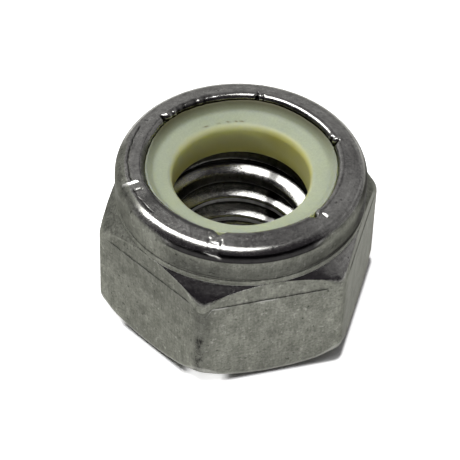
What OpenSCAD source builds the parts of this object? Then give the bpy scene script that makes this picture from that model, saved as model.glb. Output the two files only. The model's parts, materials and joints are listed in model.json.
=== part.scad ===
// Nylon insert lock nut: a cold-formed stainless hex nut whose collar is rolled over a nylon ring.
// The bearing face lies on z = 0 and the thread axis is +Z. One corner of the hexagon points along +X.

/* [Hexagon] */
// Width across the flats
across_flats = 12.7; // [12.66:0.01:13]
// Radius on the six upright corners
corner_round = 0.58; // [0.4:0.02:0.8]
// Diameter of the flat ring that bears on the work
bearing_d = 12.12; // [11.6:0.02:12.4]
// Slope of the chamfer under the corners
bottom_slope = 30; // [25:1:35]
// Slope of the chamfer between the collar and the corners
top_slope = 38; // [33:1:40]
// Radius that takes the lower end of each corner into the bottom chamfer
corner_foot_r = 0.7; // [0.4:0.05:1]
// Radius that takes the upper end of each corner into the top chamfer
corner_crown_r = 1.1; // [0.6:0.05:1.3]
// Height of the step on each flat, above which the forming die has squeezed the flat in
step_h = 5.36; // [5.1:0.02:5.5]
// How far the upper band of each flat is squeezed in
step_depth = 0.04; // [0.02:0.01:0.05]

/* [Collar] */
// Height of the whole nut, up to the lip
total_h = 8.75; // [8.65:0.01:9]
// Height at which the collar rises out of the top chamfer
collar_base_h = 6.45; // [6.35:0.01:6.6]
// Outside diameter of the collar
collar_d = 12.6; // [12.5:0.01:12.62]
// Radius of the rolled shoulder
shoulder_r = 0.7; // [0.6:0.02:0.8]
// Slope of the rolled top from the lip down to the shoulder
crown_slope = 12; // [6:1:16]
// Diameter inside the rolled lip
lip_d = 9.62; // [9.4:0.02:9.7]
// Radius on the edge of the lip
lip_edge_r = 0.28; // [0.2:0.01:0.3]
// Height of the bead at the foot of the collar
bead_h = 0.34; // [0.2:0.02:0.5]
// Depth of the crease above the bead
crease_depth = 0.07; // [0.04:0.01:0.1]

/* [Crimp marks] */
// Turn of the marks from the corners of the hexagon
crimp_turn = 3; // [0:1:10]
// Width of the nick that each mark leaves in the lip
crimp_w = 0.5; // [0.3:0.05:0.7]
// How far each nick reaches out from the lip
crimp_reach = 0.3; // [0.15:0.05:0.5]
// Depth of the crease that runs from each nick over the shoulder
crimp_crease = 0.12; // [0.06:0.02:0.16]

/* [Thread] */
// Minor diameter, the wall of the hole at the crests of the thread
thread_minor_d = 6.45; // [6.4:0.01:6.6]
// Major diameter, across the roots of the thread
thread_major_d = 7.94; // [7.9:0.01:8]
// Slope of the countersinks at both ends of the thread
countersink_slope = 45; // [40:1:60]

/* [Nylon insert] */
// Outside diameter of the ring
insert_d = 10.9; // [10.7:0.02:11]
// Diameter of the hole, between the minor and the major diameter of the thread
insert_hole_d = 6.9; // [6.8:0.02:7.2]
// Height of the ledge that the ring sits on
insert_seat_h = 6.05; // [5.8:0.05:6.15]
// Height of the ring at the rim of its hole
insert_rim_h = 7.9; // [7.7:0.02:7.96]
// Height of the ring where the lip presses on it
insert_top_h = 8.24; // [8.14:0.02:8.26]
// Radius on the rim of the hole
insert_rim_r = 0.25; // [0.15:0.01:0.3]
// Radius on the upper outer edge of the ring
insert_edge_r = 0.5; // [0.4:0.02:0.6]

/* [Hidden] */

// How far a cutting shape runs past what it cuts
spare = 1;
// How much larger than its nominal radius a rounding is, so that it crosses its two faces cleanly
proud = 0.003;

corners = 6;
turn = 360 / corners;
flat_r = across_flats / 2;
corner_r = flat_r / cos(turn / 2);
round_centre_r = corner_r - corner_round / cos(turn / 2);
bearing_r = bearing_d / 2;
// The turned outline clears the tips of the rounded corners by this much
outline_margin = 0.05;
outline_r = round_centre_r + corner_round + outline_margin;
foot_centre = [
    outline_r - corner_foot_r,
    (outline_r - corner_foot_r * (1 - sin(bottom_slope)) - bearing_r) * tan(bottom_slope)
        + corner_foot_r * cos(bottom_slope),
];

collar_r = collar_d / 2;
crease_h = collar_base_h + bead_h;
crown_centre = [
    outline_r - corner_crown_r,
    collar_base_h - (outline_r - corner_crown_r * (1 - sin(top_slope)) - collar_r) * tan(top_slope)
        - corner_crown_r * cos(top_slope),
];
lip_r = lip_d / 2;
lip_edge_centre = [lip_r + lip_edge_r, total_h - lip_edge_r - proud];
lip_edge_end = on_arc(lip_edge_centre, lip_edge_r, 90 - crown_slope);
// The shoulder's centre lies its own radius under the straight slope that leaves the lip
shoulder_centre = [
    collar_r - shoulder_r,
    on_slope(lip_edge_end, -crown_slope, collar_r - shoulder_r)[1] - shoulder_r / cos(crown_slope),
];

minor_r = thread_minor_d / 2;
// The countersinks are this much wider than the roots of the thread
countersink_margin = 0.15;
countersink_r = thread_major_d / 2 + countersink_margin;
countersink_h = (countersink_r - minor_r) * tan(countersink_slope);

insert_r = insert_d / 2;
insert_hole_r = insert_hole_d / 2;
insert_edge_centre = [insert_r - insert_edge_r, insert_top_h - insert_edge_r];
insert_rim_centre = [insert_hole_r + insert_rim_r, insert_rim_h - insert_rim_r];
insert_slope = slope_of_tangent(insert_rim_centre, insert_rim_r, insert_edge_centre, insert_edge_r);
insert_chamfer = 0.1;

// Point on a circle, at an angle measured from the outward direction.
function on_arc(centre, r, angle) = centre + r * [cos(angle), sin(angle)];

// Point at a given radius on a sloping line through another point.
function on_slope(point, slope, r) = [r, point[1] + (r - point[0]) * tan(slope)];

// Slope of the straight line that lies on top of two circles.
function slope_of_tangent(a, ra, b, rb) =
    atan2(b[1] - a[1], b[0] - a[0]) + asin((rb - ra) / norm(b - a));

// Sharp tip that a rounding takes off a section, between the angles at which it meets its two faces.
module sharp_tip(centre, r, from, to) {
    reach = r / cos((to - from) / 2) + spare;
    translate(centre)
        difference() {
            polygon([[0, 0], for (angle = [from, (from + to) / 2, to]) on_arc([0, 0], reach, angle)]);
            circle(r + proud, $fn = 96);
        }
}

// Solid of revolution whose seam lies between a corner and a flat.
module turned() {
    rotate(turn / 4)
        rotate_extrude($fn = 180)
            children();
}

// Hexagon with rounded corners.
module rounded_hexagon() {
    difference() {
        circle(corner_r, $fn = corners);
        for (k = [0 : corners - 1])
            rotate(turn * k)
                translate([round_centre_r, 0])
                    difference() {
                        translate([corner_round * cos(turn / 2), -spare])
                            square([spare, 2 * spare]);
                        circle(corner_round + proud, $fn = 96);
                    }
    }
}

// Turned outline that cuts the chamfers on the corners and rounds off the corners' ends.
module chamfers() {
    turned()
        difference() {
            polygon([
                [0, 0],
                [bearing_r, 0],
                [outline_r, (outline_r - bearing_r) * tan(bottom_slope)],
                [outline_r, collar_base_h - (outline_r - collar_r) * tan(top_slope)],
                [insert_r, collar_base_h + (collar_r - insert_r) * tan(top_slope)],
                [0, collar_base_h],
            ]);
            sharp_tip(foot_centre, corner_foot_r, bottom_slope - 90, 0);
            sharp_tip(crown_centre, corner_crown_r, 0, 90 - top_slope);
        }
}

// Upper band of each flat, squeezed in by the forming die between the rounded corners.
module flat_bands() {
    band_w = corner_r - 2 * corner_round * tan(turn / 2);
    for (k = [0 : corners - 1])
        rotate(turn * (k + 0.5))
            translate([flat_r - step_depth, -band_w / 2, step_h])
                cube([spare, band_w, collar_base_h - step_h + spare]);
}

// Hexagon with its chamfers and squeezed flats.
module hexagon() {
    difference() {
        intersection() {
            linear_extrude(height = total_h)
                rounded_hexagon();
            chamfers();
        }
        flat_bands();
    }
}

// Collar with its bead, crease, rolled shoulder and lip, from a foot inside the hexagon.
module collar() {
    turned()
        difference() {
            polygon([
                [lip_r, insert_seat_h - spare],
                [collar_r, insert_seat_h - spare],
                [collar_r, crease_h - crease_depth],
                [collar_r - crease_depth, crease_h],
                [collar_r, crease_h + crease_depth],
                on_slope(lip_edge_end, -crown_slope, collar_r),
                on_slope(lip_edge_end, -crown_slope, lip_r),
            ]);
            sharp_tip(shoulder_centre, shoulder_r, 0, 90 - crown_slope);
            sharp_tip(lip_edge_centre, lip_edge_r, 90 - crown_slope, 180);
        }
}

// Hole for the thread, countersunk at both ends.
module thread_hole() {
    turned()
        polygon([
            [0, -spare],
            [countersink_r + spare, -spare],
            [countersink_r, 0],
            [minor_r, countersink_h],
            [minor_r, insert_seat_h - countersink_h],
            [countersink_r, insert_seat_h],
            [countersink_r, total_h],
            [0, total_h],
        ]);
}

// Six nicks in the lip, each with a crease that runs out over the shoulder.
module crimp_marks() {
    crease_run = collar_r - lip_r;
    below_lip = 0.25;
    nick_back = 0.5;
    for (k = [0 : corners - 1])
        rotate(turn * k + crimp_turn) {
            translate([lip_r, 0, insert_top_h - below_lip])
                linear_extrude(height = total_h)
                    polygon([
                        [-nick_back, -crimp_w / 2],
                        [0, -crimp_w / 2],
                        [crimp_reach, 0],
                        [0, crimp_w / 2],
                        [-nick_back, crimp_w / 2],
                    ]);
            translate([lip_r, 0, total_h - crimp_crease])
                rotate([0, crown_slope / 2, 0])
                    rotate([45, 0, 0])
                        cube([crease_run + spare, spare, spare]);
        }
}

// Section of the nylon ring, from its hole out to its seat.
module insert_section() {
    edge_end = on_arc(insert_edge_centre, insert_edge_r, 90 + insert_slope);
    difference() {
        polygon([
            [insert_hole_r + insert_chamfer, insert_seat_h],
            [insert_r - insert_chamfer, insert_seat_h],
            [insert_r, insert_seat_h + insert_chamfer],
            on_slope(edge_end, insert_slope, insert_r),
            on_slope(edge_end, insert_slope, insert_hole_r),
            [insert_hole_r, insert_seat_h + insert_chamfer],
        ]);
        sharp_tip(insert_edge_centre, insert_edge_r, 0, 90 + insert_slope);
        sharp_tip(insert_rim_centre, insert_rim_r, 90 + insert_slope, 180);
    }
}

// Steel body: the collar closes round the nylon ring, so the ring's own form is the room it leaves.
module nut_body() {
    color([0.47, 0.47, 0.44])
        difference() {
            union() {
                hexagon();
                collar();
            }
            thread_hole();
            nylon_insert();
            crimp_marks();
        }
}

// Nylon ring that grips the bolt.
module nylon_insert() {
    color([0.80, 0.84, 0.69])
        turned()
            insert_section();
}

nut_body();
nylon_insert();
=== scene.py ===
"""Looks of the nylon insert lock nut: its steel body with the thread, the nylon ring, and the studio."""

import json
import math

import bmesh
import bpy
import numpy as np
from mathutils import Matrix, Vector


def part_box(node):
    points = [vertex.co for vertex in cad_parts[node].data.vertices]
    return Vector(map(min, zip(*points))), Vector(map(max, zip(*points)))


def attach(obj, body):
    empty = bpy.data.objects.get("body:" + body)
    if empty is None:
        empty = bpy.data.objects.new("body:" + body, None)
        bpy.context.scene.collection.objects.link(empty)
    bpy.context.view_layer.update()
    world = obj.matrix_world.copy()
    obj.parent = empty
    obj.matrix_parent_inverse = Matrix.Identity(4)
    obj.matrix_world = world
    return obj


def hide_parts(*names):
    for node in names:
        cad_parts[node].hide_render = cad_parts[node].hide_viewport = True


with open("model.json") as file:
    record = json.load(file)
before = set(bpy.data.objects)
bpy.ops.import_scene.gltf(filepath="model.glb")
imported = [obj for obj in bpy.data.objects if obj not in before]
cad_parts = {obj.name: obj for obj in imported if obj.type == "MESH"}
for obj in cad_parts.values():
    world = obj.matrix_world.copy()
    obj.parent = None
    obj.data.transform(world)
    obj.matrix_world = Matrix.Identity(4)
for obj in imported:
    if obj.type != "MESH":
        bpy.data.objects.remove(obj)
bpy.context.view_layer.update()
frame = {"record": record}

# Sizes of the nut in millimetres: the first ones come from the frame, the rest repeat the part's own values
MM = 0.001
body_high = np.array(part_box("nut_body")[1]) / MM
ring_low, ring_high = (np.array(corner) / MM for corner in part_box("nylon_insert"))
mounts = {mount["name"]: mount for mount in frame["record"]["mounts"]}

flat_r = body_high[1]
total_h = body_high[2]
seat_h = ring_low[2]
insert_r = ring_high[0]
insert_top_h = ring_high[2]
minor_r = mounts["thread"]["dims"]["r_mm"]
hole_r = mounts["insert_hole"]["dims"]["r_mm"]

TURN = 60.0
HALF_TURN = math.radians(TURN / 2)
corner_round = 0.58
round_centre_r = (flat_r - corner_round) / math.cos(HALF_TURN)
bearing_r = 6.06
bottom_slope = math.radians(30)
top_slope = math.radians(38)
step_h = 5.36
step_depth = 0.04
corner_tip_r = round_centre_r + corner_round
corner_foot_r = 0.7
corner_crown_r = 1.1
collar_r = 6.3
collar_base_h = 6.45
crease_h = collar_base_h + 0.34
crease_depth = 0.07
shoulder_r = 0.7
crown_slope = math.radians(12)
lip_r = 4.81
lip_edge_r = 0.28
countersink_r = 4.12
major_r = 3.97
pitch = 25.4 / 18
insert_rim_h = 7.9
insert_rim_r = 0.25
insert_edge_r = 0.5

# Sizes that only the looks have: rounding of sharp edges, and the gap between the nylon ring and its seat
edge_round = 0.07
seat_gap = 0.012

# Points round the axis, and how much closer together they lie at the corners
BODY_COLUMNS = 370
RING_COLUMNS = 320
CROWDING = 2.6
# Share of a straight run that roundings may take, and the smallest length to divide by
ROUNDED_SHARE = 0.96
TINY = 1e-9

# Direction round the axis that faces the camera, in degrees
FRONT = 256

# Stops of the body's section, counted as body_section lists them
FOOT_STOP = 2
STEP_STOP = 3
BAND_STOP = 4
CHAMFER_STOP = 5
BEAD_STOP = 6
CREASE_STOP = 8
COLLAR_STOP = 9
SHOULDER_STOP = 10
LIP_STOP = 11

# Crimp marks, read from the photo round the axis
# Nicks in the lip: direction in degrees, half width, depth
NICKS = [
    (4.3, 0.24, 0.16),
    (65.6, 0.14, 0.10),
    (126.4, 0.24, 0.16),
    (183.0, 0.16, 0.04),
    (243.0, 0.34, 0.22),
    (298.8, 0.30, 0.20),
]
# Creases over the lip: direction in degrees, width, depth (negative for a ridge), from and to radius
CREASES = [
    (4.0, 0.05, 0.06, 4.7, 5.2),
    (5.7, 0.06, -0.05, 4.7, 5.2),
    (7.4, 0.05, 0.04, 4.7, 5.1),
    (9.2, 0.06, -0.04, 4.7, 5.05),
    (61.9, 0.03, 0.05, 4.7, 5.05),
    (64.2, 0.07, -0.03, 4.7, 5.05),
    (65.9, 0.05, 0.10, 4.7, 5.25),
    (118.5, 0.08, -0.04, 4.7, 5.0),
    (122.0, 0.12, -0.05, 4.7, 5.2),
    (126.8, 0.07, 0.10, 4.7, 5.2),
    (181.0, 0.08, -0.06, 5.25, 6.05),
    (187.4, 0.06, 0.03, 5.3, 5.65),
    (239.0, 0.05, 0.02, 5.5, 6.2),
    (242.3, 0.20, 0.015, 5.7, 6.1),
    (245.2, 0.05, 0.02, 5.5, 6.2),
    (299.6, 0.10, 0.05, 4.7, 5.2),
    (304.3, 0.08, -0.06, 4.9, 5.62),
]
# Folds that run round the shoulder: from and to direction in degrees, radius at both ends, width, depth
FOLDS = [
    (139, 181, 5.66, 5.63, 0.035, 0.02),
    (186, 205, 5.68, 5.62, 0.03, 0.008),
    (238, 245.6, 6.19, 6.21, 0.03, -0.03),
]


def ease(value, low, high):
    """Smooth rise from 0 to 1 between two limits."""
    share = np.clip((value - low) / (high - low), 0, 1)
    return share * share * (3 - 2 * share)


def between(value, low, high, soft):
    """1 between two limits and 0 outside them, with soft ends."""
    return ease(value, low - soft, low + soft) * (1 - ease(value, high - soft, high + soft))


def turned_from(angle, direction):
    """Angle from a direction, in degrees between -180 and 180."""
    return (angle - direction + 180) % 360 - 180


def ripple(angle, waves, seed):
    """Unevenness between -1 and 1 round the axis, from a few waves with fixed starts."""
    starts = np.random.default_rng(seed).uniform(0, 2 * math.pi, len(waves))
    return sum(np.sin(wave * np.radians(angle) + start) for wave, start in zip(waves, starts)) / len(waves)


def columns(count, crowding):
    """Directions round the axis in degrees, closer together at the corners and the crimp marks."""
    fine = np.linspace(0, 360, 7201)
    off_corner = (fine + TURN / 2) % TURN - TURN / 2
    density = 1 + crowding * np.exp(-(((off_corner - 2.5) / 6.0) ** 2))
    reached = np.concatenate([[0], np.cumsum((density[1:] + density[:-1]) / 2)])
    return np.interp(np.arange(count) / count, reached / reached[-1], fine)


def facing_corner(angle):
    """Angle from the nearest corner of the hexagon, in degrees."""
    return np.abs((angle + TURN / 2) % TURN - TURN / 2)


def hexagon_r(angle):
    """Distance of the hexagon's outline from the axis, with its rounded corners."""
    off_corner = np.radians(facing_corner(angle))
    on_flat = flat_r / np.cos(HALF_TURN - off_corner)
    across = round_centre_r * np.sin(off_corner)
    on_round = round_centre_r * np.cos(off_corner) + np.sqrt(np.maximum(corner_round ** 2 - across ** 2, 0))
    round_ends = math.atan2(
        corner_round * math.sin(HALF_TURN), round_centre_r + corner_round * math.cos(HALF_TURN)
    )
    return np.where(off_corner < round_ends, on_round, on_flat)


def rounded_path(stops, angles):
    """Rings of a section that runs through its stops and is rounded at each.

    A stop is (r, z, radius of its rounding, steps on the rounding, rings on the straight run after it).
    Returns the rings as r and z in each direction, and each ring's place counted in stops.
    """
    points = [np.stack([stop[0] + 0 * angles, stop[1] + 0 * angles], axis=-1) for stop in stops]
    runs = [np.linalg.norm(b - a, axis=-1, keepdims=True) for a, b in zip(points, points[1:])]
    ways = [(b - a) / run for a, b, run in zip(points, points[1:], runs)]
    halves = [np.arccos(np.clip((-a * b).sum(-1, keepdims=True), -1, 1)) / 2 for a, b in zip(ways, ways[1:])]
    radii = [(stop[2] + 0 * angles)[:, None] for stop in stops[1:-1]]
    wanted = [radius / np.tan(half) for radius, half in zip(radii, halves)]
    wanted = [0 * runs[0], *wanted, 0 * runs[0]]
    room = [
        np.minimum(1, ROUNDED_SHARE * run / np.maximum(a + b, TINY))
        for a, b, run in zip(wanted, wanted[1:], runs)
    ]
    arcs = [[points[0]]]
    for i, half in enumerate(halves, start=1):
        here, setback = points[i], wanted[i] * np.minimum(room[i - 1], room[i])
        arc = []
        for s in np.linspace(0, 1, stops[i][3] + 1):
            a, b, c = (1 - s) ** 2, 2 * s * (1 - s) * np.sin(half), s * s
            arc.append(here + (c * ways[i] - a * ways[i - 1]) * setback / (a + b + c))
        arcs.append(arc)
    arcs.append([points[-1]])
    rings, places = [], []
    for i, arc in enumerate(arcs):
        rings += arc
        places += [float(i)] * len(arc)
        if i + 1 < len(arcs):
            for share in np.arange(1, stops[i][4] + 1) / (stops[i][4] + 1):
                rings.append(arc[-1] * (1 - share) + arcs[i + 1][0] * share)
                places.append(i + share)
    return np.array(rings), np.array(places)


def outward(rings):
    """Unit normals of the rings in the plane of the section."""
    along = np.gradient(rings, axis=0)
    along /= np.maximum(np.linalg.norm(along, axis=-1, keepdims=True), TINY)
    return np.stack([along[..., 1], -along[..., 0]], axis=-1)


def in_space(r, z, angles):
    """Points in metres from radius and height in millimetres and direction in degrees."""
    turn = np.radians(angles)
    return np.stack([r * np.cos(turn), r * np.sin(turn), z + 0 * turn], axis=-1) * MM


def ring_faces(rows, count, first=0, closed=False):
    """Quads between rings of the same number of points, going round the axis."""
    row = np.arange(rows if closed else rows - 1)[:, None]
    column = np.arange(count)[None, :]
    above = (row + 1) % rows
    beside = (column + 1) % count
    quads = np.stack(
        [row * count + column, row * count + beside, above * count + beside, above * count + column], axis=-1
    )
    return quads.reshape(-1, 4) + first


def make_piece(name, points, faces, masks):
    """Closed, smooth-shaded mesh object, with one number per point for each mask that its material reads."""
    mesh = bpy.data.meshes.new(name)
    mesh.from_pydata(points.tolist(), [], faces.tolist())
    for mask, values in masks.items():
        mesh.attributes.new(mask, "FLOAT", "POINT").data.foreach_set("value", values.astype(np.float32))
    work = bmesh.new()
    work.from_mesh(mesh)
    bmesh.ops.remove_doubles(work, verts=work.verts, dist=1e-8)
    bmesh.ops.recalc_face_normals(work, faces=work.faces)
    work.to_mesh(mesh)
    work.free()
    mesh.shade_smooth()
    piece = bpy.data.objects.new(name, mesh)
    bpy.context.scene.collection.objects.link(piece)
    weighted = piece.modifiers.new("flat_faces_stay_flat", "WEIGHTED_NORMAL")
    weighted.weight = 60
    return piece


# Steel body
def insert_top(r, grown=0.0):
    """Height of the nylon ring's sloping top, or of the room for it, at a radius."""
    slope = (insert_top_h - insert_rim_h) / (insert_r - insert_edge_r - hole_r - insert_rim_r)
    return insert_rim_h + (r - hole_r - insert_rim_r) * slope + grown


def lip_outline(angles):
    """Radius of the lip's edge: straighter between the marks, nicked at them and chipped at the back."""
    edge = lip_r + 0.03 * np.cos(6 * np.radians(angles - 3))
    for direction, half_width, depth in NICKS:
        away = np.abs(np.radians(turned_from(angles, direction))) * lip_r
        edge = edge + depth * np.maximum(0, 1 - away / half_width)
    chipped = between(angles, 92, 160, 6) + 0.3
    return edge + 0.02 * chipped * ripple(angles, [23, 37, 53, 71], 4)


def crown_h(r):
    """Height of the collar's rolled top, which falls outwards from the lip, at a radius."""
    start_r = lip_r + lip_edge_r * (1 + math.sin(crown_slope))
    start_h = total_h - lip_edge_r * (1 - math.cos(crown_slope))
    return start_h - (r - start_r) * math.tan(crown_slope)


def body_section(angles):
    """Outer side of the body, from the lower countersink over hexagon and collar to the insert's seat."""
    hexagon = hexagon_r(angles)
    off_corner = facing_corner(angles)
    at_corner = ease(hexagon, 6.75, corner_tip_r)
    foot_round = edge_round + (corner_foot_r - edge_round) * at_corner
    crown_round = edge_round + (corner_crown_r - edge_round) * at_corner
    band = hexagon - step_depth * ease(off_corner, 4.0, 8.0)
    bottom_edge_h = (hexagon - bearing_r) * math.tan(bottom_slope)
    top_edge_h = collar_base_h - (band - collar_r) * math.tan(top_slope)
    step = step_h + 0.012 * ripple(angles, [11, 19, 29], 2) - 0.5 * (1 - ease(off_corner, 1.5, 4.5))
    lip = lip_outline(angles)
    stops = [
        (countersink_r, 0.0, 0, 0, 3),
        (bearing_r, 0.0, 0.08, 3, 4),
        (hexagon, bottom_edge_h, foot_round, 6, 40),
        (hexagon, step - 0.015, 0.02, 2, 0),
        (band, step + 0.015, 0.02, 2, 5),
        (band, top_edge_h, crown_round, 8, 5),
        (collar_r, collar_base_h, 0.05, 3, 2),
        (collar_r, crease_h - crease_depth, 0.12, 3, 1),
        (collar_r - crease_depth, crease_h, 0.06, 2, 1),
        (collar_r, crease_h + crease_depth, 0.12, 3, 6),
        (collar_r, crown_h(collar_r), shoulder_r, 30, 14),
        (lip, crown_h(lip), lip_edge_r, 12, 3),
        (lip, insert_top(lip, seat_gap), 0.02, 2, 3),
        (insert_r + seat_gap, insert_top(insert_r, seat_gap), insert_edge_r, 5, 2),
        (insert_r + seat_gap, seat_h, 0.05, 2, 3),
        (countersink_r, seat_h, 0, 0, 0),
    ]
    return rounded_path(stops, angles)


def rolled_marks(rings, places, angles):
    """Depth of the crimp creases and folds on the rolled top, and the painted shade in the folds' cracks,
    which turns to a painted highlight where a fold is a ridge.
    """
    r = rings[..., 0]
    depth, cracks = np.zeros(r.shape), np.zeros(r.shape)
    for direction, width, deep, start_r, end_r in CREASES:
        away = np.radians(turned_from(angles, direction)) * r
        depth += deep * np.exp(-((away / width) ** 2)) * between(r, start_r, end_r, 0.06)
    for start, end, start_r, end_r, width, deep in FOLDS:
        share = np.clip((angles - start) / (end - start), 0, 1)
        path_r = start_r + (end_r - start_r) * share + 0.04 * ripple(angles, [17, 41, 67], 6)
        uneven = 0.75 + 0.25 * ripple(angles, [59, 83, 131], 8)
        fold = uneven * np.exp(-(((r - path_r) / width) ** 2)) * between(angles, start, end, 1.5)
        depth += deep * fold
        cracks += 1.8 * np.sign(deep) * fold
    torn = between(angles, 92, 124, 3) * (1 - ease(r, lip_r + 0.2, lip_r + 0.4))
    depth += 0.025 * torn * (1 + ripple(angles, [43, 61, 79], 21))
    on_top = 1.0 * ((places >= SHOULDER_STOP) & (places <= LIP_STOP))[:, None]
    return depth * on_top, cracks * on_top


def corner_pits(rings, places, angles):
    """Depth of the small upright dents that wrenches and handling left near the front left corner."""
    rng = np.random.default_rng(12)
    r, z = rings[..., 0], rings[..., 1]
    depth = np.zeros(r.shape)
    for _ in range(46):
        height = rng.uniform(0.4, 3.4)
        direction = rng.normal(238.2 + 0.5 * height, 1.3)
        width, length, deep = rng.uniform(0.025, 0.05), rng.uniform(0.05, 0.16), rng.uniform(0.008, 0.022)
        away = np.radians(turned_from(angles, direction)) * r
        depth += deep * np.exp(-((away / width) ** 2) - ((z - height) / length) ** 2)
    return depth * between(places, FOOT_STOP, STEP_STOP, 0.3)[:, None]


# Thread: height of a crest in the direction +X, and the lead-in's narrowing per millimetre of depth
THREAD_START = 1.15
LEAD_IN = 0.44


def thread_rows():
    """One pitch of the thread as height and radius, from crest to crest, with its small flats rounded off."""
    crest_half = pitch / 11
    cut = major_r - minor_r
    flank_h = cut * math.tan(HALF_TURN)
    root_half = pitch / 2 - crest_half - flank_h
    blunt = 0.03
    rising = [(crest_half + flank_h * share, minor_r + cut * share) for share in (0.2, 0.5, 0.8)]
    half = [
        (0, minor_r),
        (crest_half - blunt, minor_r),
        (crest_half + blunt / 2, minor_r + blunt / 3),
        *rising,
        (crest_half + flank_h - blunt / 2, major_r - blunt),
        (crest_half + flank_h + blunt / 2, major_r),
    ]
    mirrored = [(pitch - height, r) for height, r in reversed(half[1:])]
    return half + [(pitch / 2, major_r)] * (root_half > blunt) + mirrored


def countersink(z):
    """Radius of the countersinks at a height: a short one below, a long lead-in under the nylon ring."""
    return countersink_r - np.minimum(z, LEAD_IN * (seat_h - z))


def thread_wall(angles):
    """Rings of the right-hand thread between its two countersinks. Each ring climbs one pitch in a turn."""
    profile = thread_rows()
    turns = range(-2, math.ceil(seat_h / pitch) + 1)
    start = np.array([turn * pitch + height for turn in turns for height, _ in profile]) + THREAD_START
    cut = np.array([r for _ in turns for _, r in profile])
    z = np.clip(start[:, None] + pitch * angles[None, :] / 360, 0, seat_h)
    cone = countersink(z)
    r = np.maximum(np.where((z == 0) | (z == seat_h), countersink_r, cut[:, None] + 0 * z), cone)
    return r, z, len(profile)


def thread_faces(rows, count, per_pitch, first):
    """Quads of the thread's wall. The last column meets the first one a pitch higher up."""
    row = np.arange(rows - 1)[:, None]
    column = np.arange(count - 1)[None, :]
    start = row * count + column
    inner = np.stack([start, start + 1, start + count + 1, start + count], axis=-1).reshape(-1, 4)
    low = np.arange(rows - 1 - per_pitch)
    last = low * count + count - 1
    pitch_above = (low + per_pitch) * count
    seam = np.stack([last, pitch_above, pitch_above + count, last + count], axis=-1)
    return np.concatenate([inner, seam]) + first


# Heights on the collar, as the photo shows them: where polish starts, and where the dark band lies in front
POLISH_H = 8.25
POLISH_DROP_IN_FRONT = 0.3
# The dark band between these heights is painted shade, a painted reflection of the dark room
SHADE_LOW = 7.95
SHADE_HIGH = 8.36
SHADE_DROP_ON_LEFT = 0.07
SHADE_SOFT = 0.03
# Depths, in millimetres, at which the painted shade in marks and pits is fully black
MARK_DEPTH = 0.05
PIT_DEPTH = 0.03


def facing_camera(angles):
    """1 on the side that faces the camera, 0 elsewhere."""
    return 1 - ease(np.abs(turned_from(angles, FRONT)), 31, 44)


def on_right_side(angles):
    """1 on the right of the side that faces the camera, 0 elsewhere."""
    return between(angles, 292, 345, 14)


def on_hexagon(places):
    """1 on the hexagon's flats and corners, 0 elsewhere."""
    return between(places, FOOT_STOP, CHAMFER_STOP - 0.1, 0.1)[:, None]


def fading(angles):
    """How clearly the step on the flats shows, round the axis."""
    return 0.25 + 0.40 * ripple(angles, [13, 31, 47, 77, 103], 9)


def polish_and_rough(z, upward, places, angles):
    """How polished and how rough each point of the body's outer side is."""
    on_collar = 1.0 * (places > COLLAR_STOP)[:, None]
    polish_from = POLISH_H - POLISH_DROP_IN_FRONT * facing_camera(angles)
    dull_left = between(angles, 150, 198, 7) * (1 - ease(upward, 0.94, 0.975))
    rolled = on_collar * ease(z, polish_from, polish_from + 0.12) * (1 - dull_left)
    on_chamfer = between(places, CHAMFER_STOP - 0.05, BEAD_STOP, 0.05)[:, None]
    lit_chamfer = on_chamfer * between(angles, 212, 322, 8) * ease(upward, 0.40, 0.50)
    return np.maximum(rolled, lit_chamfer), 0.50 - 0.29 * rolled - 0.34 * lit_chamfer


def painted_shade_on_collar(z, upward, places, angles):
    """Painted shade on the collar's band, wall, rim, crown and shoulder, by the side they face; it stands in
    for the dark room reflected there.
    """
    in_front = facing_camera(angles)
    on_collar = 1.0 * (places > COLLAR_STOP)[:, None]
    shade_high = SHADE_HIGH - SHADE_DROP_ON_LEFT * between(angles, 190, 236, 6)
    above_low = ease(z, SHADE_LOW - SHADE_SOFT, SHADE_LOW + SHADE_SOFT)
    below_high = 1 - ease(z, shade_high - SHADE_SOFT, shade_high + SHADE_SOFT)
    # Painted reflection of the dark room: a dark band under the shoulder's highlight in front
    band = 0.97 * on_collar * in_front * above_low * below_high
    on_wall = between(places, CREASE_STOP + 0.5, COLLAR_STOP + 0.8, 0.4)[:, None]
    on_left = between(angles, 184, 246, 5)
    wall = on_wall * (0.58 * on_right_side(angles) + 0.47 * in_front + 0.10 * on_left)
    at_back = 1 - ease(np.abs(turned_from(angles, 80)), 108, 128)
    far_right = 1 - ease(np.abs(turned_from(angles, 0)), 40, 70)
    on_rim = np.maximum(0.6 * on_wall, on_collar * (1 - ease(upward, 0.5, 0.9)))
    rim = (0.28 + 0.46 * far_right) * at_back * on_rim
    on_crown = on_collar * ease(upward, 0.960, 0.974)
    crown = on_crown * (0.58 * between(angles, 192, 240, 6) + 0.12 * between(angles, 246, 292, 6))
    shoulder = 0.4 * on_collar * between(angles, 183, 199, 4) * between(upward, 0.70, 0.96, 0.1)
    return band + wall + rim + crown + shoulder


def painted_shade_on_flats(z, places, angles):
    """Painted shade on the left flat and the front left corner."""
    on_left = between(angles, 184, 246, 5)
    left_flat = on_left * (0.10 + 0.15 * ease(z, 3, 4.5))
    return on_hexagon(places) * (left_flat + 0.22 * between(angles, 237, 243, 2))


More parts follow.
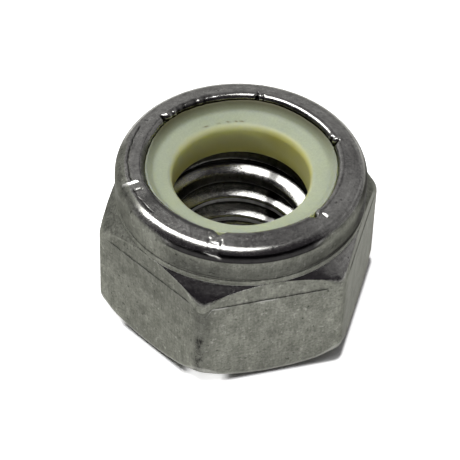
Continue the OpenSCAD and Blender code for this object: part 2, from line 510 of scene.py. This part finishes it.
def painted_shade_in_edges(z, upward, places, angles):
    """Painted shade in the crease above the bead, on the inside of the lip and in the step on the flats."""
    on_right = on_right_side(angles)
    crease_w = 0.08 + 0.06 * on_right
    by_crease = between(places, BEAD_STOP + 0.5, COLLAR_STOP + 0.5, 0.3)[:, None]
    crease = by_crease * np.exp(-(((z - crease_h) / crease_w) ** 2)) * (0.25 + 0.65 * on_right)
    at_far = 1 - ease(np.abs(turned_from(angles, FRONT - 180)), 60, 100)
    jagged = 0.10 * at_far * ripple(angles, [43, 61, 79], 14)
    on_lip = 1.0 * ((places >= LIP_STOP) & (places < LIP_STOP + 1.01))[:, None]
    lip = on_lip * (0.35 + 0.6 * ease(z, 8.34, 8.42)) * (1 - ease(upward + jagged, 0.05, 0.3))
    on_step = (np.abs(places - BAND_STOP) < 0.05)[:, None]
    step = fading(angles) * on_step * ease(facing_corner(angles), 3, 6)
    return crease + lip + step


def edge_wear_and_painted_highlights(places, angles):
    """Painted highlights on the lower edges, the step's edge, the bead and the right flat; on the lower edges
    also wear.
    """
    lower_edge = 0.35 * (np.abs(places - FOOT_STOP) < 0.01)[:, None]
    on_step_edge = (np.abs(places - STEP_STOP) < 0.01)[:, None]
    lit = between(angles, 243, 250, 2) + 0.8 * between(angles, 263, 272, 2) + 0.3 * fading(angles)
    on_bead = between(places, BEAD_STOP + 0.2, BEAD_STOP + 0.9, 0.2)[:, None]
    bead = 0.22 * on_right_side(angles) * on_bead
    right_flat = 0.14 * between(angles, 304, 356, 4) * on_hexagon(places)
    return lower_edge + 0.6 * on_step_edge * lit + bead + right_flat


def body_masks(rings, places, angles, marks, pits):
    """How polished and rough each point of the body's outer side is, how dark from painted shade and dark
    marks, how bright from wear and painted highlights, and how pitted.
    """
    z = rings[..., 1]
    upward = outward(rings)[..., 1]
    polish, rough = polish_and_rough(z, upward, places, angles)
    # Darkness: painted shade in the crimp creases and folds, in the pits, in the edges, on the collar and on
    # the flats
    painted_shade_and_dark_marks = marks + pits / PIT_DEPTH + painted_shade_in_edges(z, upward, places, angles)
    painted_shade_and_dark_marks = painted_shade_and_dark_marks + painted_shade_on_collar(z, upward, places, angles) + painted_shade_on_flats(z, places, angles)
    # Brightness: wear and painted highlights on the edges, the bead and the right flat, and painted
    # highlights on the crimp ridges
    wear_and_painted_highlights = edge_wear_and_painted_highlights(places, angles) - marks
    pitted = between(angles, 237, 242, 1.5) * between(z, 0.3, 3.6, 0.3) * on_hexagon(places)
    masks = {"polish": polish, "rough": rough, "painted_shade_and_dark_marks": painted_shade_and_dark_marks, "wear_and_painted_highlights": wear_and_painted_highlights, "pitted": pitted}
    return {name: np.clip(values, 0, 1) for name, values in masks.items()}


def thread_masks(cut_depth, on_cone, angles):
    """The same masks on the thread: bright flanks crossed by a painted dark reflection bar, and painted shade
    on the crests, roots and countersinks.
    """
    # Painted shade in the roots, on the crests and in the countersinks, and a painted dark reflection bar
    # across the flanks
    painted_shade_and_dark_marks = np.maximum(ease(cut_depth, 0.84, 0.97), 0.7 * (1 - ease(cut_depth, 0.0, 0.06)))
    painted_shade_and_dark_marks = np.maximum(painted_shade_and_dark_marks, 0.88 * between(angles, 42.5, 51, 2.5))
    painted_shade_and_dark_marks = np.maximum(painted_shade_and_dark_marks, 0.85 * on_cone)
    even = np.ones(painted_shade_and_dark_marks.shape)
    rough = 0.20 + 0.12 * on_cone
    return {"polish": even, "rough": rough, "painted_shade_and_dark_marks": painted_shade_and_dark_marks, "wear_and_painted_highlights": 0 * even, "pitted": 0 * even}


def make_body():
    """Steel body with its hexagon, rolled collar, crimp marks and thread."""
    angles = columns(BODY_COLUMNS, CROWDING)
    rings, places = body_section(angles)
    marks, cracks = rolled_marks(rings, places, angles)
    pits = corner_pits(rings, places, angles)
    rings = rings - outward(rings) * (marks + pits)[..., None]
    rings[..., 1] = np.minimum(rings[..., 1], total_h)
    r, z = rings[..., 0], rings[..., 1]
    wall_r, wall_z, per_pitch = thread_wall(angles)
    cut_depth = (wall_r - minor_r) / (major_r - minor_r)
    on_cone = 1.0 * (np.abs(wall_r - countersink(wall_z)) < 1e-6)

    outer = body_masks(rings, places, angles, marks / MARK_DEPTH + cracks, pits)
    inner = thread_masks(cut_depth, on_cone, angles)
    masks = {name: np.concatenate([outer[name].ravel(), inner[name].ravel()]) for name in outer}
    points = np.concatenate(
        [in_space(r, z, angles).reshape(-1, 3), in_space(wall_r, wall_z, angles).reshape(-1, 3)]
    )
    faces = np.concatenate(
        [
            ring_faces(len(rings), len(angles)),
            thread_faces(len(wall_r), len(angles), per_pitch, r.size),
        ]
    )
    return make_piece("steel_body", points, faces, masks)


# Nylon ring, which the lip has pressed up from a radius outwards, to a height, with a small gap to the lip
PRESSED_FROM = 4.42
PRESSED_H = 8.56
PRESSED_GAP = 0.02


def make_ring():
    """Nylon ring with its rounded rim, a slightly uneven top and small nicks from the tool that bored it."""
    angles = columns(RING_COLUMNS, CROWDING)
    bore_start_h = seat_h + 0.5
    uneven = 0.012 * ripple(angles, [3, 5, 8], 3)
    pressed_r = np.minimum(lip_outline(angles), lip_r + 0.03) - PRESSED_GAP
    stops = [
        (hole_r, bore_start_h, 0, 0, 5),
        (hole_r, insert_top(hole_r) + uneven, 1.4 * insert_rim_r, 10, 8),
        (PRESSED_FROM, insert_top(PRESSED_FROM) + uneven, 0.3, 4, 3),
        (pressed_r, PRESSED_H, 0.04, 3, 1),
        (pressed_r, insert_top(pressed_r) - 0.02, 0.02, 2, 2),
        (insert_r, insert_top(insert_r) - 0.02, insert_edge_r, 6, 3),
        (insert_r, seat_h, 0.1, 2, 5),
        (hole_r, seat_h, 0.1, 3, 2),
        (hole_r, bore_start_h, 0, 0, 0),
    ]
    rings, places = rounded_path(stops, angles)
    rings, places = rings[:-1], places[:-1]
    r, z = rings[..., 0], rings[..., 1]
    rng = np.random.default_rng(5)
    flecks = np.zeros(r.shape)
    fleck_r = hole_r + 1.3 * insert_rim_r
    for direction in (74, 79, 86, 93, 104):
        away = turned_from(angles, direction + rng.uniform(-1, 1))
        width = rng.uniform(0.8, 2.0)
        flecks += np.exp(-((away / width) ** 2) - ((r - fleck_r) / 0.04) ** 2)
    on_top = 1.0 * ((places >= 1) & (places < 4))[:, None]
    flecks *= on_top
    far = 0.15 + 0.85 * (1 - ease(np.abs(turned_from(angles, FRONT - 180)), 50, 100))
    # Yellow tint down the hole, lighter than the top as painted light, and wider at the far side
    yellow_tint_and_painted_light = 1 - ease(r, hole_r, hole_r + (0.5 + 0.8 * far) * insert_rim_r)
    on_right = 1 - ease(np.abs(turned_from(angles, 0)), 40, 75)
    # Painted shade: darker olive down the hole and on the hole's right side
    deep = yellow_tint_and_painted_light * np.maximum(1 - ease(z, seat_h, insert_rim_h), 0.75 * on_right)
    # Dirt and painted shade under the lip, strongest at the far side
    dirt_and_painted_shade_under_lip = ease(r, 4.25, 4.8) * on_top * far
    masks = {"fleck": flecks, "yellow_tint_and_painted_light": yellow_tint_and_painted_light, "deep": deep, "dirt_and_painted_shade_under_lip": dirt_and_painted_shade_under_lip}
    masks = {name: np.clip(values, 0, 1).ravel() for name, values in masks.items()}
    points = in_space(r + 0.015 * flecks, z, angles).reshape(-1, 3)
    faces = ring_faces(len(rings), len(angles), closed=True)
    return make_piece("nylon_ring", points, faces, masks)


# Materials
def add(tree, kind, inputs=None, **settings):
    """New node with its settings, and with each named input set to a value or linked to a socket."""
    node = tree.nodes.new(kind)
    for name, value in settings.items():
        setattr(node, name, value)
    for name, value in (inputs or {}).items():
        if isinstance(value, bpy.types.NodeSocket):
            tree.links.new(value, node.inputs[name])
        else:
            node.inputs[name].default_value = value
    return node


def mask(tree, name):
    """One of the numbers that the mesh carries for its material."""
    return add(tree, "ShaderNodeAttribute", attribute_name=name).outputs["Fac"]


def noise(tree, place, size_mm, detail=4.0, stretch=(1, 1, 1), roughness=0.6):
    """Noise whose grains are about the given size, stretched along an axis where that is asked."""
    scaled = add(tree, "ShaderNodeMapping", {"Vector": place, "Scale": stretch}).outputs["Vector"]
    inputs = {"Vector": scaled, "Scale": 1 / (size_mm * MM), "Detail": detail, "Roughness": roughness}
    return add(tree, "ShaderNodeTexNoise", inputs).outputs["Fac"]


def spread(tree, value, low, high, to_low, to_high):
    """A value's range laid on another range."""
    inputs = {"Value": value, "From Min": low, "From Max": high, "To Min": to_low, "To Max": to_high}
    return add(tree, "ShaderNodeMapRange", inputs).outputs["Result"]


def varied(tree, value, to_low, to_high):
    """A noise laid on a range: most of its values lie between the range's ends."""
    return spread(tree, value, 0.3, 0.7, to_low, to_high)


def reckon(tree, operation, a, b):
    """Sum, product or other arithmetic of two values."""
    node = add(tree, "ShaderNodeMath", operation=operation)
    for socket, value in zip(node.inputs, (a, b)):
        if isinstance(value, bpy.types.NodeSocket):
            tree.links.new(value, socket)
        else:
            socket.default_value = value
    return node.outputs[0]


def blend(tree, share, a, b, mode="MIX"):
    """Two colours, or the sockets that carry them, blended."""
    node = add(tree, "ShaderNodeMix", data_type="RGBA", blend_type=mode)
    for index, value in ((0, share), (6, a), (7, b)):
        if isinstance(value, bpy.types.NodeSocket):
            tree.links.new(value, node.inputs[index])
        else:
            node.inputs[index].default_value = value
    return node.outputs[2]


def new_material(name):
    """Empty material with its surface shader and output."""
    material = bpy.data.materials.new(name)
    material.use_nodes = True
    tree = material.node_tree
    tree.nodes.clear()
    surface = add(tree, "ShaderNodeBsdfPrincipled")
    add(tree, "ShaderNodeOutputMaterial", {"Surface": surface.outputs[0]})
    return material, tree, surface


def grey(tree, value):
    """Colour whose three parts are one value."""
    return add(tree, "ShaderNodeCombineColor", {0: value, 1: value, 2: value}).outputs[0]


def round_the_axis(tree, place):
    """Coordinates outwards, round the axis and upwards, so that stretched noise follows turned faces."""
    parts = add(tree, "ShaderNodeSeparateXYZ", {"Vector": place}).outputs
    flat = add(tree, "ShaderNodeCombineXYZ", {"X": parts["X"], "Y": parts["Y"]}).outputs[0]
    out = add(tree, "ShaderNodeVectorMath", {0: flat}, operation="LENGTH").outputs["Value"]
    around = reckon(tree, "MULTIPLY", reckon(tree, "ARCTAN2", parts["Y"], parts["X"]), collar_r * MM)
    return add(tree, "ShaderNodeCombineXYZ", {"X": out, "Y": around, "Z": parts["Z"]}).outputs[0]


def steel_material():
    """Tumbled stainless steel: dull, mottled flats, a brighter rolled collar and a mirror-bright thread."""
    material, tree, surface = new_material("tumbled_stainless")
    place = add(tree, "ShaderNodeTexCoord").outputs["Object"]
    polish, rough, painted_shade_and_dark_marks, wear_and_painted_highlights = (mask(tree, name) for name in ("polish", "rough", "painted_shade_and_dark_marks", "wear_and_painted_highlights"))
    cloud = noise(tree, place, 0.7)
    grain = noise(tree, place, 0.13, 6)
    upright = noise(tree, place, 0.10, 3, (1, 1, 0.1))
    turned = noise(tree, round_the_axis(tree, place), 0.16, 4, (1, 0.12, 1))
    scratch = noise(tree, place, 0.35, 2, (1, 6, 3), 0.4)
    dots = noise(tree, place, 0.3, 2)
    flakes = noise(tree, place, 0.24, 3)

    dull = blend(tree, varied(tree, cloud, 0, 1), (0.145, 0.148, 0.125, 1), (0.230, 0.233, 0.201, 1))
    dull = blend(tree, spread(tree, flakes, 0.60, 0.72, 0, 0.5), dull, (0.42, 0.42, 0.38, 1))
    metal = blend(tree, polish, dull, (0.46, 0.455, 0.43, 1))
    streaks = add(tree, "ShaderNodeMix", {0: polish, 2: upright, 3: turned}, data_type="FLOAT").outputs[0]
    smears = noise(tree, place, 0.5, 3, (1, 1, 0.4))
    coarse = reckon(tree, "MULTIPLY", varied(tree, grain, 0.6, 1.4), varied(tree, smears, 0.87, 1.13))
    patches = noise(tree, place, 0.4, 4)
    fine = reckon(tree, "MULTIPLY", varied(tree, grain, 0.8, 1.2), varied(tree, patches, 0.78, 1.22))
    specks = add(tree, "ShaderNodeMix", {0: polish, 2: coarse, 3: fine}, data_type="FLOAT").outputs[0]
    specks = reckon(tree, "MULTIPLY", specks, varied(tree, streaks, 0.88, 1.12))
    specks = reckon(tree, "MULTIPLY", specks, spread(tree, dots, 0.66, 0.72, 1, 0.45))
    metal = blend(tree, 1.0, metal, grey(tree, specks), "MULTIPLY")
    # Painted highlights, with wear on the lower edges, lighten the metal
    metal = blend(tree, wear_and_painted_highlights, metal, (0.55, 0.55, 0.52, 1))
    dark_spots = spread(tree, noise(tree, place, 0.13, 2), 0.52, 0.60, 0, 0.8)
    dents = reckon(tree, "MULTIPLY", mask(tree, "pitted"), dark_spots)
    painted_shade_and_dark_marks = reckon(tree, "MAXIMUM", painted_shade_and_dark_marks, dents)
    # Painted shade and dark marks darken the metal towards near black
    metal_with_painted_shade = blend(tree, reckon(tree, "MULTIPLY", painted_shade_and_dark_marks, 0.96), metal, (0.010, 0.009, 0.010, 1))
    tree.links.new(metal_with_painted_shade, surface.inputs["Base Color"])
    surface.inputs["Metallic"].default_value = 1.0
    surface.inputs["Specular Tint"].default_value = (0.5, 0.5, 0.48, 1)
    grainy = reckon(tree, "MULTIPLY", rough, varied(tree, grain, 0.8, 1.25))
    tree.links.new(grainy, surface.inputs["Roughness"])

    relief = reckon(tree, "ADD", reckon(tree, "ADD", grain, streaks), reckon(tree, "MULTIPLY", scratch, 0.6))
    relief = reckon(tree, "MULTIPLY", relief, spread(tree, rough, 0.15, 0.5, 0.13, 0.5))
    bump = add(tree, "ShaderNodeBump", {"Height": relief, "Strength": 0.6, "Distance": 0.035 * MM})
    tree.links.new(bump.outputs[0], surface.inputs["Normal"])
    return material


def nylon_material():
    """Natural nylon: pale, slightly translucent and mottled, yellower and brightened with painted light down
    its hole, with painted shade deeper in the hole and dirt with painted shade under the lip.
    """
    material, tree, surface = new_material("natural_nylon")
    place = add(tree, "ShaderNodeTexCoord").outputs["Object"]
    cloud = noise(tree, place, 1.6)
    grain = noise(tree, place, 0.09, 4)
    pale = blend(tree, varied(tree, cloud, 0, 1), (0.455, 0.505, 0.36, 1), (0.51, 0.56, 0.405, 1))
    pale = blend(tree, 1.0, pale, grey(tree, varied(tree, grain, 0.92, 1.08)), "MULTIPLY")
    # Yellow tint with painted light down the hole
    yellow = blend(tree, mask(tree, "yellow_tint_and_painted_light"), pale, (0.75, 0.77, 0.44, 1))
    # Painted shade deeper in the hole and on its right side
    olive = blend(tree, mask(tree, "deep"), yellow, (0.50, 0.47, 0.13, 1))
    # Dirt and painted shade under the lip darken the nylon
    lip_dirt_and_shade = reckon(tree, "MULTIPLY", mask(tree, "dirt_and_painted_shade_under_lip"), 0.95)
    stained_and_shaded = blend(tree, lip_dirt_and_shade, olive, (0.075, 0.065, 0.02, 1))
    flecked = blend(tree, mask(tree, "fleck"), stained_and_shaded, (0.16, 0.13, 0.04, 1))
    tree.links.new(flecked, surface.inputs["Base Color"])
    tree.links.new(varied(tree, grain, 0.38, 0.55), surface.inputs["Roughness"])
    tree.links.new(spread(tree, mask(tree, "dirt_and_painted_shade_under_lip"), 0, 1, 1, 0.1), surface.inputs["Subsurface Weight"])
    surface.inputs["Subsurface Radius"].default_value = (1.0, 0.95, 0.55)
    surface.inputs["Subsurface Scale"].default_value = 1.3 * MM
    bump = add(tree, "ShaderNodeBump", {"Height": grain, "Strength": 0.25, "Distance": 0.01 * MM})
    tree.links.new(bump.outputs[0], surface.inputs["Normal"])
    return material


# Studio
def floor_material():
    """White floor that shows white to the camera and in the metal, and keeps the nut's shadow, except under
    the edges at two corners, where it glows as painted light.
    """
    material, tree, surface = new_material("white_floor")
    place = add(tree, "ShaderNodeTexCoord").outputs["Object"]
    paper = varied(tree, noise(tree, place, 4.0), 0.88, 0.90)
    tree.links.new(grey(tree, paper), surface.inputs["Base Color"])
    surface.inputs["Roughness"].default_value = 0.9
    surface.inputs["Specular IOR Level"].default_value = 0.0
    rays = add(tree, "ShaderNodeLightPath").outputs
    shown = reckon(tree, "MAXIMUM", rays["Is Camera Ray"], rays["Is Glossy Ray"])
    shown = reckon(tree, "MAXIMUM", shown, rays["Is Transmission Ray"])
    shown = reckon(tree, "MULTIPLY", shown, mask(tree, "open"))
    surface.inputs["Emission Color"].default_value = (1, 1, 1, 1)
    tree.links.new(reckon(tree, "MULTIPLY", shown, 0.82), surface.inputs["Emission Strength"])
    return material


def make_floor():
    """Large plain floor, in rings that follow the hexagon, to tell the ground under the nut apart."""
    angles = np.arange(0, 360, 2.0)
    shares = np.array([0.5, 0.97, 1.0, 1.02])[:, None]
    r = np.concatenate([shares * hexagon_r(angles), np.full((1, len(angles)), 1000.0)])
    # Under the edges at the front left and left corners the floor glows too: painted light over the nut's
    # shadow
    painted_light_at_feet = between(angles, 233, 250, 3) + between(angles, 165, 192, 3)
    beyond_edge = np.array([0, 0, 0, 1, 1])[:, None]
    under_edge = np.array([0, 1, 1, 0, 0])[:, None]
    is_open = np.clip(beyond_edge + under_edge * painted_light_at_feet, 0, 1).ravel().astype(np.float32)
    faces = ring_faces(len(r), len(angles)).tolist() + [list(range(len(angles)))]
    mesh = bpy.data.meshes.new("floor")
    mesh.from_pydata(in_space(r, 0 * r, angles).reshape(-1, 3).tolist(), [], faces)
    mesh.attributes.new("open", "FLOAT", "POINT").data.foreach_set("value", is_open)
    mesh.materials.append(floor_material())
    floor = bpy.data.objects.new("floor", mesh)
    bpy.context.scene.collection.objects.link(floor)


# Camera, fitted to the hexagon's edges and the collar in the photo
IMAGE = 460
FOCAL = 2400.0
VIEW_AZIMUTH = math.radians(-16.24)
VIEW_HEIGHT = math.radians(45.48)
VIEW_ROLL = math.radians(2.08)
VIEW_DISTANCE = 122.3
AIM = Vector((0, 0, 4.0))
AIM_ASIDE = 0.457
AIM_UP = 0.089


def view_axes():
    """Directions to the right of, above and back towards the camera, before its roll."""
    flat = math.cos(VIEW_HEIGHT)
    back = Vector((math.sin(VIEW_AZIMUTH) * flat, -math.cos(VIEW_AZIMUTH) * flat, math.sin(VIEW_HEIGHT)))
    right = Vector((math.cos(VIEW_AZIMUTH), math.sin(VIEW_AZIMUTH), 0))
    return right, back.cross(right), back


def make_camera():
    """Camera at the photo's angle."""
    right, up, back = view_axes()
    rolled_right = right * math.cos(VIEW_ROLL) + up * math.sin(VIEW_ROLL)
    rolled_up = up * math.cos(VIEW_ROLL) - right * math.sin(VIEW_ROLL)
    place = AIM + back * VIEW_DISTANCE - rolled_right * AIM_ASIDE - rolled_up * AIM_UP
    data = bpy.data.cameras.new("camera")
    data.sensor_width = 36.0
    data.lens = data.sensor_width * FOCAL / IMAGE
    data.clip_start = 5 * MM
    data.clip_end = 10.0
    camera = bpy.data.objects.new("camera", data)
    turned = Matrix((rolled_right, rolled_up, back)).transposed().to_4x4()
    camera.matrix_world = Matrix.Translation(place * MM) @ turned
    bpy.context.scene.collection.objects.link(camera)
    bpy.context.scene.camera = camera


def add_softbox(name, place, size, turn, level):
    """Rectangular lamp that faces the nut, turned about the upright.

    Its place, in millimetres, is counted to the camera's right, towards the camera and above the floor.
    """
    right, _, back = view_axes()
    ahead = Vector((back.x, back.y, 0)).normalized()
    data = bpy.data.lights.new(name, "AREA")
    data.shape = "RECTANGLE"
    data.size, data.size_y = size[0] * MM, size[1] * MM
    data.energy = level * math.pi * data.size * data.size_y
    lamp = bpy.data.objects.new(name, data)
    spot = right * place[0] + ahead * place[1] + Vector((0, 0, place[2]))
    away = (spot - Vector((0, 0, total_h))).normalized()
    long_way = right * math.cos(turn) + ahead * math.sin(turn)
    across = (long_way - away * long_way.dot(away)).normalized()
    axes = Matrix((across, away.cross(across), away)).transposed().to_4x4()
    lamp.matrix_world = Matrix.Translation(spot * MM) @ axes
    bpy.context.scene.collection.objects.link(lamp)


def light_studio():
    """Long window overhead, from the right front to the left back, dim walls round it and a dark room."""
    add_softbox("window", (-35, -1, 110), (122, 44), math.radians(35), 7.0)
    add_softbox("behind_low", (0, -150, 45), (420, 90), 0, 0.33)
    add_softbox("behind_left", (-120, -150, 190), (280, 200), 0, 0.25)
    add_softbox("behind_right", (95, -150, 190), (150, 200), 0, 0.14)
    add_softbox("left", (-200, -60, 90), (240, 200), math.radians(73), 0.13)
    add_softbox("right", (90, -41, 110), (120, 118), 0, 0.18)
    add_softbox("low_right", (180, -40, 60), (200, 110), math.radians(90), 0.21)
    world = bpy.data.worlds.new("room")
    world.use_nodes = True
    world.node_tree.nodes["Background"].inputs["Color"].default_value = (0.036, 0.032, 0.038, 1)
    bpy.context.scene.world = world


body = make_body()
body.data.materials.append(steel_material())
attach(body, "root")
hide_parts("nut_body")

ring = make_ring()
ring.data.materials.append(nylon_material())
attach(ring, "root")
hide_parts("nylon_insert")

make_floor()
make_camera()
light_studio()
bpy.context.scene.view_settings.view_transform = "Standard"
